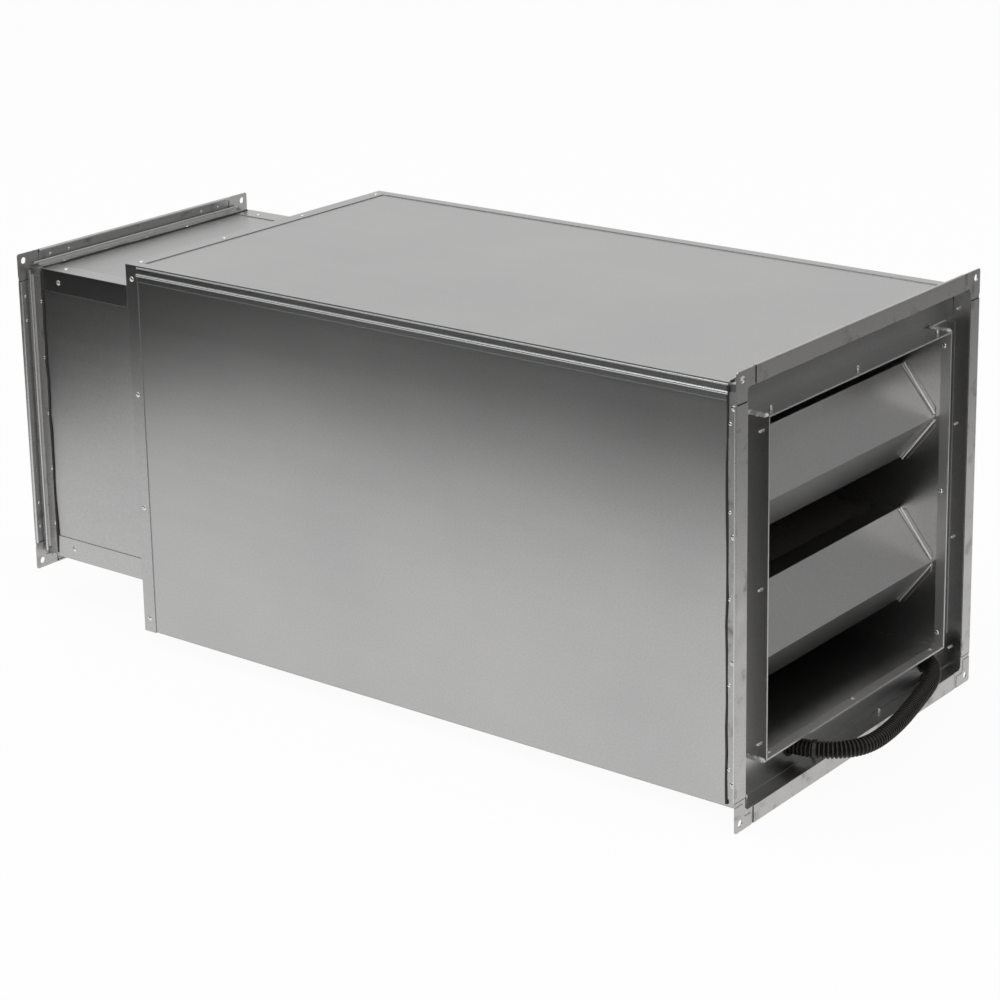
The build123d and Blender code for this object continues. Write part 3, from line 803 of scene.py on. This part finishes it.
class DAMPER_OT_apply_finishes(bpy.types.Operator):
    """Give every CAD piece of the damper its finish"""

    bl_idname = "damper.apply_finishes"
    bl_label = "Apply Finishes"

    def execute(self, context):
        settings = context.scene.damper_finishes
        dress(SHEET_NODES, galvanised_finish(settings))
        dress(["duct_corner_angles"], galvanised_finish(settings, "Galvanised angle", -0.05))
        dress(FLANGE_NODES, flange_finish(settings))
        dress(BLADES, aluminium_finish(settings))
        plated = [f"{blade}_shaft" for blade in BLADES] + ["shaft_clamp", "casing_rivets", "collar_rivets"]
        dress(plated, zinc_finish("Zinc plate", settings.zinc_colour, 0.28))
        dress([f"wool_{side}_slab" for side in SIDES], wool_finish(settings))
        dress([f"{name}_splitter_infill" for name in SPLITTERS], fleece_finish(settings))
        nylon = plastic_finish("White nylon", settings.nylon_colour, 0.45)
        dress([f"{blade}_gear" for blade in BLADES] + ["shaft_bearings"], nylon)
        dress(["actuator_housing"], plastic_finish("Actuator case", settings.case_colour, 0.5, 700, 0.0002))
        black = plastic_finish("Black plastic", settings.black_colour, 0.42)
        dress(["release_button", "cable_tie", "conduit"], black)
        rubber = plastic_finish("Black rubber", settings.black_colour, 0.7, 500, 0.0002, 0.001)
        dress(["conduit_grommets"], rubber)
        return {"FINISHED"}


# Stage


CAMERA_PLACE = (2.7166, -2.6346, 1.1152)
CAMERA_YAW = 2.2313
CAMERA_PITCH = -0.2642
CAMERA_ROLL = 0.0169
CAMERA_LENS = 98.79
CAMERA_SHIFT = (-0.0144, -0.2)
FLOOR_LEVEL = -0.2715
FLOOR_REACH = 9
# How white the world is in reflections, and how much of the floor's white hides its shade
GLOSSY_WHITE = 0.8
FLOOR_WHITE = 0.94


def camera_matrix():
    """The camera's place and turn from its yaw, pitch and roll."""
    level = math.cos(CAMERA_PITCH)
    ahead = Vector((level * math.cos(CAMERA_YAW), level * math.sin(CAMERA_YAW), math.sin(CAMERA_PITCH)))
    right = Vector((math.sin(CAMERA_YAW), -math.cos(CAMERA_YAW), 0))
    down = ahead.cross(right)
    right, down = (
        right * math.cos(CAMERA_ROLL) + down * math.sin(CAMERA_ROLL),
        down * math.cos(CAMERA_ROLL) - right * math.sin(CAMERA_ROLL),
    )
    turn = Matrix((right, -down, -ahead)).transposed().to_4x4()
    return Matrix.Translation(CAMERA_PLACE) @ turn


def add_card(name, corners, finish):
    """A flat stage card between four corners."""
    mesh = bmesh.new()
    mesh.faces.new([mesh.verts.new(corner) for corner in corners])
    data = bpy.data.meshes.new(name)
    mesh.to_mesh(data)
    mesh.free()
    data.materials.append(finish)
    card = bpy.data.objects.new(name, data)
    bpy.context.scene.collection.objects.link(card)
    return card


def floor_rectangle(x0, x1, y0, y1, z):
    return [(x0, y0, z), (x1, y0, z), (x1, y1, z), (x0, y1, z)]


def floor_finish():
    """Pale floor that shows white to the camera and keeps the shadow on it."""
    finish = Finish("Studio floor")
    shade = finish.node("ShaderNodeBsdfDiffuse", None, {"Color": (0.86, 0.86, 0.86, 1)})
    white = finish.node("ShaderNodeEmission", None, {"Color": (1, 1, 1, 1), "Strength": 1.0})
    camera = finish.node("ShaderNodeLightPath", output="Is Camera Ray")
    glossy = finish.node("ShaderNodeLightPath", output="Is Glossy Ray")
    seen = camera.maths("MAXIMUM", camera, glossy)
    glow = finish.node("ShaderNodeMixShader", None, {0: seen * FLOOR_WHITE, 1: shade, 2: white})
    finish.node("ShaderNodeOutputMaterial", None, {"Surface": glow})
    return finish.data


def card_finish(level):
    """An even grey that reflections see, whatever light falls on it."""
    finish = Finish(f"Card at {level}")
    shade = finish.node("ShaderNodeEmission", None, {"Color": (level, level, level, 1)})
    finish.node("ShaderNodeOutputMaterial", None, {"Surface": shade})
    return finish.data


def light_world(settings):
    """White for the camera, a shade less for reflections, and a plain fill for the rest."""
    world = Finish("Studio", world=True)
    strength = settings.fill_strength
    for ray, seen in (("Is Glossy Ray", GLOSSY_WHITE), ("Is Camera Ray", 1.0)):
        path = world.node("ShaderNodeLightPath", output=ray)
        strength = world.node("ShaderNodeMix", None, {0: path, 2: strength, 3: seen})
    values = {"Color": (1, 1, 1, 1), "Strength": strength}
    background = world.node("ShaderNodeBackground", None, values)
    world.node("ShaderNodeOutputWorld", None, {"Surface": background})
    bpy.context.scene.world = world.data


def add_lamp(name, place, target, size, power):
    """A soft rectangular lamp that faces its target."""
    lamp = bpy.data.lights.new(name, "AREA")
    lamp.shape = "RECTANGLE"
    lamp.size, lamp.size_y = size
    lamp.energy = power
    holder = bpy.data.objects.new(name, lamp)
    toward = (Vector(target) - Vector(place)).to_track_quat("-Z", "Y").to_matrix().to_4x4()
    holder.matrix_world = Matrix.Translation(place) @ toward
    bpy.context.scene.collection.objects.link(holder)


class DAMPER_OT_add_stage(bpy.types.Operator):
    """Camera, pale floor, dark cards, soft lamps and world"""

    bl_idname = "damper.add_stage"
    bl_label = "Add Stage"

    def execute(self, context):
        settings = context.scene.damper_stage
        scene = context.scene
        lens = bpy.data.cameras.new("Camera")
        lens.lens = CAMERA_LENS
        lens.sensor_width = 36.0
        lens.shift_x, lens.shift_y = CAMERA_SHIFT
        camera = bpy.data.objects.new("Camera", lens)
        camera.matrix_world = camera_matrix()
        scene.collection.objects.link(camera)
        scene.camera = camera
        scene.view_settings.view_transform = "Standard"
        light_world(settings)
        far = FLOOR_REACH
        add_card("floor", floor_rectangle(-far, far, -far, far, FLOOR_LEVEL), floor_finish())
        dark, dim, grey = card_finish(0.02), card_finish(0.15), card_finish(0.36)
        low = FLOOR_LEVEL + 0.002
        near = -settings.card_distance
        cards = {
            "front_floor": (dark, floor_rectangle(-0.55, 3.2, -far, near, low)),
            "left_floor": (dark, floor_rectangle(-far, -0.55, -far, near * 0.62, low)),
            "front_wall": (dark, [(-12, -7, low), (-12, -7, 3.2), (3.2, -7, 3.2), (3.2, -7, low)]),
            "left_wall": (dark, [(-9, -7, low), (-9, -7, 3.2), (-9, -2, 3.2), (-9, -2, low)]),
            "right_floor": (dim, floor_rectangle(1.75, 8, near, 8, low)),
            "right_wall": (dim, [(8, -7, low), (8, -7, 3.2), (8, 4, 3.2), (8, 4, low)]),
            "back_wall": (grey, [(0.6, 4, low), (0.6, 4, 4.5), (8, 4, 4.5), (8, 4, low)]),
        }
        for name, (finish, corners) in cards.items():
            card = add_card(f"card_{name}", corners, finish)
            card.visible_camera = False
            card.visible_diffuse = False
            card.visible_shadow = False
        add_lamp("key", (0.2, -1.2, 4.2), (0.6, 0, 0), (3.0, 3.0), settings.key_power)
        add_lamp("front fill", (2.4, -3.6, 2.6), (0.7, 0, 0), (2.2, 1.6), settings.front_power)
        return {"FINISHED"}


# Settings


def colour_property(name, description, default):
    return bpy.props.FloatVectorProperty(
        name=name, description=description, default=default, subtype="COLOR", min=0.0, max=1.0
    )


def length_property(name, description, default):
    return bpy.props.FloatProperty(
        name=name, description=description, default=default, min=0.0, unit="LENGTH", precision=5
    )


def factor_property(name, description, default):
    return bpy.props.FloatProperty(
        name=name, description=description, default=default, min=0.0, max=1.0, subtype="FACTOR"
    )


class DamperFinishSettings(bpy.types.PropertyGroup):
    """Colours and gloss of the damper's pieces"""

    sheet_colour: colour_property("Sheet", "Galvanised sheet", (0.505, 0.502, 0.497))
    sheet_roughness: factor_property("Sheet roughness", "How dull the zinc is", 0.30)
    flange_colour: colour_property("Flanges", "Flange profiles and the lining", (0.50, 0.495, 0.485))
    flange_roughness: factor_property("Flange roughness", "How dull the profiles are", 0.42)
    stain_colour: colour_property("Stains", "Handling stains on the flanges", (0.30, 0.28, 0.25))
    zinc_colour: colour_property("Zinc plate", "Shafts, clamp, hems and seams", (0.68, 0.69, 0.70))
    rivet_colour: colour_property("Rivets", "Rivets, clinch marks and nose joints", (0.82, 0.81, 0.79))
    weld_colour: colour_property("Welds", "Weld beads", (0.80, 0.81, 0.80))
    blade_colour: colour_property("Blades", "Aerofoil blades", (0.72, 0.73, 0.74))
    wool_colour: colour_property("Wool", "Mineral wool lagging", (0.42, 0.35, 0.18))
    fleece_colour: colour_property("Fleece", "Cover of the splitters' wool", (0.022, 0.018, 0.014))
    nylon_colour: colour_property("Nylon", "Gears and bearings", (0.80, 0.80, 0.77))
    case_colour: colour_property("Actuator", "Actuator case", (0.28, 0.29, 0.30))
    # This black also paints the shadow lines under the flanges' legs
    black_colour: colour_property("Black parts", "Button, tie, grommets, sealant and painted shadow lines", (0.02, 0.02, 0.02))
    conduit_colour: colour_property("Conduit", "Corrugated conduit", (0.003, 0.0028, 0.0026))
    conduit_roughness: factor_property("Conduit roughness", "How dull the conduit is", 0.38)
    # Painted highlight: a lighter copy of the conduit's black, laid on the ribs' crests
    crest_highlight_colour: colour_property("Conduit crest highlight", "Painted highlight on the ribs' crests", (0.036, 0.033, 0.030))


class DamperConduitSettings(bpy.types.PropertyGroup):
    """Ribs of the conduit"""

    rib_pitch: length_property("Rib pitch", "From one rib to the next", 0.0047)
    groove_depth: length_property("Groove depth", "Depth between two ribs", 0.0020)


class DamperFittingSettings(bpy.types.PropertyGroup):
    """Sizes of the rivets, clinch marks, welds, hems, folds and lining"""

    rivet_diameter: length_property("Rivet head", "Diameter of a rivet's head", 0.0072)
    clinch_diameter: length_property("Clinch mark", "Diameter of a clinch mark", 0.0050)
    clinch_start: length_property("Clinch start", "First mark to the flange's corner", 0.060)
    clinch_step: length_property("Clinch step", "From the first mark to the second", 0.034)
    weld_width: length_property("Weld width", "Width of a weld bead", 0.0062)
    seam_radius: length_property("Seam fold", "Radius of the lock seam's folds", 0.0012)
    rail_height: length_property("Rail height", "From the duct to a flange's outer edge", 0.020)
    rail_leg: length_property("Rail leg", "Depth of a rail's leg along the duct", 0.024)
    ridge_radius: length_property("Ridge", "Radius of the ridge between a rail's face and leg", 0.0018)
    hem_width: length_property("Hem", "Thickness of a flange's rolled outer edge", 0.0034)
    corner_arm: length_property("Corner arm", "Length of a flange corner's arm", 0.0368)
    corner_seam: length_property("Corner seam", "Length of the sealant at an arm's end", 0.0195)
    joint_bead: length_property("Nose joint", "Radius of a fold at a splitter nose's end", 0.0017)
    lining_depth: length_property("Lining", "Depth of the strip inside the collar", 0.013)


class DamperStageSettings(bpy.types.PropertyGroup):
    """Lights round the damper"""

    key_power: bpy.props.FloatProperty(
        name="Key lamp", description="Soft lamp over the back", default=60.0, min=0.0, unit="POWER"
    )
    front_power: bpy.props.FloatProperty(
        name="Front lamp", description="Soft lamp over the camera", default=25.0, min=0.0, unit="POWER"
    )
    fill_strength: factor_property("Fill", "Light from all round", 0.72)
    card_distance: length_property("Card distance", "Dark cards in front of the duct's axis", 1.15)


OPERATORS = (
    DAMPER_OT_add_stage,
    DAMPER_OT_add_conduit,
    DAMPER_OT_add_rivets,
    DAMPER_OT_add_clinch_marks,
    DAMPER_OT_add_welds,
    DAMPER_OT_add_flange_hems,
    DAMPER_OT_add_seam_folds,
    DAMPER_OT_add_nose_joints,
    DAMPER_OT_add_collar_lining,
    DAMPER_OT_apply_finishes,
)
SETTINGS = {
    "damper_finishes": DamperFinishSettings,
    "damper_conduit": DamperConduitSettings,
    "damper_fittings": DamperFittingSettings,
    "damper_stage": DamperStageSettings,
}


class DAMPER_PT_panel(bpy.types.Panel):
    """Settings and steps of the damper"""

    bl_idname = "DAMPER_PT_panel"
    bl_label = "Volume Control Damper"
    bl_space_type = "VIEW_3D"
    bl_region_type = "UI"
    bl_category = "Damper"

    def draw(self, context):
        for name, group in SETTINGS.items():
            box = self.layout.box()
            for setting in group.__annotations__:
                box.prop(getattr(context.scene, name), setting)
        for operator in OPERATORS:
            self.layout.operator(operator.bl_idname)


CLASSES = (*SETTINGS.values(), *OPERATORS, DAMPER_PT_panel)


def register():
    for kind in CLASSES:
        bpy.utils.register_class(kind)
    for name, group in SETTINGS.items():
        setattr(bpy.types.Scene, name, bpy.props.PointerProperty(type=group))


def unregister():
    for name in SETTINGS:
        delattr(bpy.types.Scene, name)
    for kind in reversed(CLASSES):
        bpy.utils.unregister_class(kind)


def main():
    register()
    for operator in OPERATORS:
        getattr(bpy.ops.damper, operator.bl_idname.split(".")[1])()


if __name__ == "__main__":
    main()
